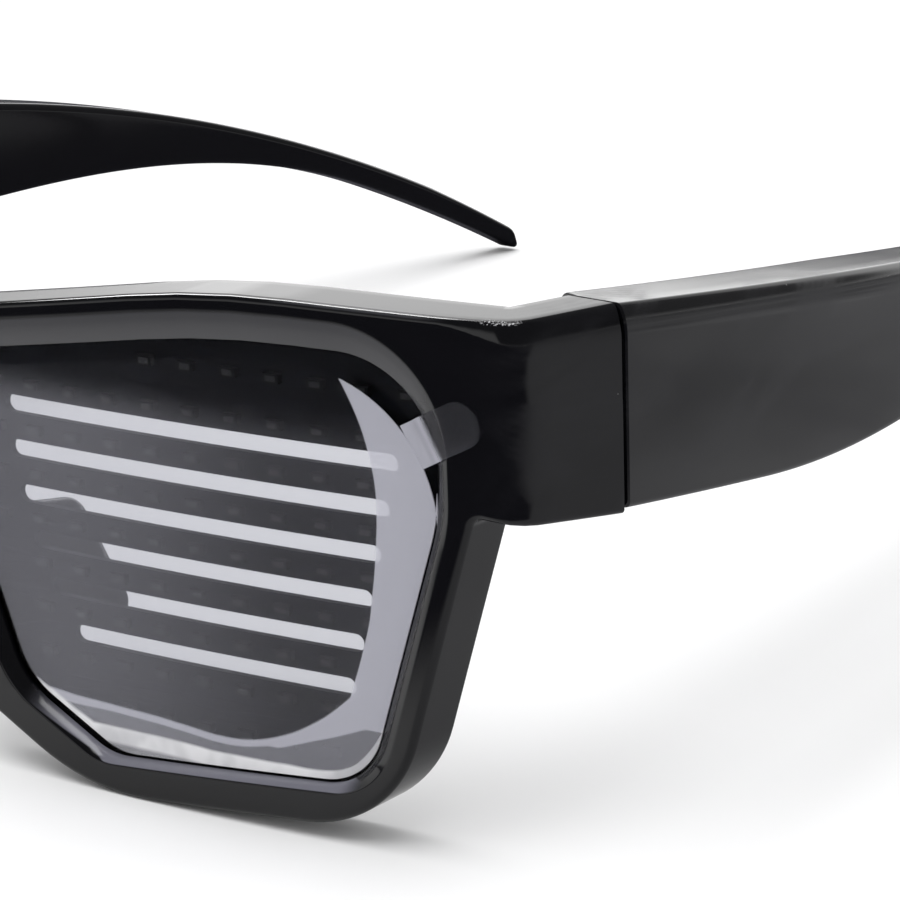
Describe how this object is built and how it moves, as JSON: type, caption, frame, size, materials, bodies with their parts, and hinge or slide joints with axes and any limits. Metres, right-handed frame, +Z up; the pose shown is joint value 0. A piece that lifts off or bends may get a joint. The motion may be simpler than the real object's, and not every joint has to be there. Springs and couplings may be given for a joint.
{
  "type": "led glasses",
  "caption": "Folding light-up glasses with a wrapped black front, slotted light boards behind tinted lenses, and hinged temples that hold the battery and the controls.",
  "frame": {"origin": "middle of the bounding box, at its bottom, where the rims and the temple tips rest", "axes": "+X to the right seen from the front, +Y back along the temples towards the wearer's ears, so the front faces -Y, +Z up"},
  "size_m": [0.154, 0.1736, 0.0464],
  "materials": {
    "frame_black": "glossy injection moulded plastic",
    "cover_black": "fine matt texture",
    "lens_smoke": "tinted clear plastic, glossy",
    "film_clear": "thin clear protective film",
    "board_black": "black solder mask",
    "led_white": "small chip lights",
    "pad_black": "glossy moulded pads",
    "hinge_steel": "plated steel",
    "screw_steel": "plated steel",
    "flex_amber": "polyimide ribbon",
    "battery_foil": "foil pouch",
    "board_green": "solder mask",
    "chip_black": "moulded packages",
    "port_steel": "stamped shell",
    "button_black": "moulded cap"
  },
  "bodies": {
    "front": {"front_frame": "frame_black", "back_cover": "cover_black", "cover_screws": "screw_steel", "bridge_flex": "flex_amber", "lens_right": "lens_smoke", "lens_left": "lens_smoke", "film_right": "film_clear", "film_left": "film_clear", "led_board_right": "board_black", "led_board_left": "board_black", "leds_right": "led_white", "leds_left": "led_white", "nose_pad_right": "pad_black", "nose_pad_left": "pad_black", "end_flex_right": "flex_amber", "end_flex_left": "flex_amber", "frame_leaf_right": "hinge_steel", "frame_leaf_left": "hinge_steel", "frame_leaf_screw_right": "screw_steel", "frame_leaf_screw_left": "screw_steel", "hinge_pin_right": "hinge_steel", "hinge_pin_left": "hinge_steel"},
    "temple_right": {"temple_shell_right": "frame_black", "temple_lid_right": "cover_black", "temple_leaf_right": "hinge_steel", "temple_leaf_screw_right": "screw_steel", "lid_screws_right": "screw_steel", "temple_flex_right": "flex_amber", "control_board": "board_green", "control_chips": "chip_black", "charging_port": "port_steel", "tact_switch": "chip_black"},
    "temple_left": {"temple_shell_left": "frame_black", "temple_lid_left": "cover_black", "temple_leaf_left": "hinge_steel", "temple_leaf_screw_left": "screw_steel", "lid_screws_left": "screw_steel", "temple_flex_left": "flex_amber", "battery": "battery_foil"},
    "button": {"mode_button": "button_black"}
  },
  "joints": [
    {"name": "temple_right_fold", "type": "hinge", "parent": "front", "child": "temple_right", "pos_m": [0.0704, -0.06925, 0.03775], "axis": [0, 0, 1], "range_deg": [0, 84]},
    {"name": "temple_left_fold", "type": "hinge", "parent": "front", "child": "temple_left", "pos_m": [-0.0704, -0.06925, 0.03775], "axis": [0, 0, -1], "range_deg": [0, 76]},
    {"name": "button_press", "type": "slide", "parent": "temple_right", "child": "button", "axis": [0.9959, 0.091, 0], "range_m": [0, 0.0004], "stiffness_N_per_m": 1000, "springref_m": -0.0002}
  ]
}
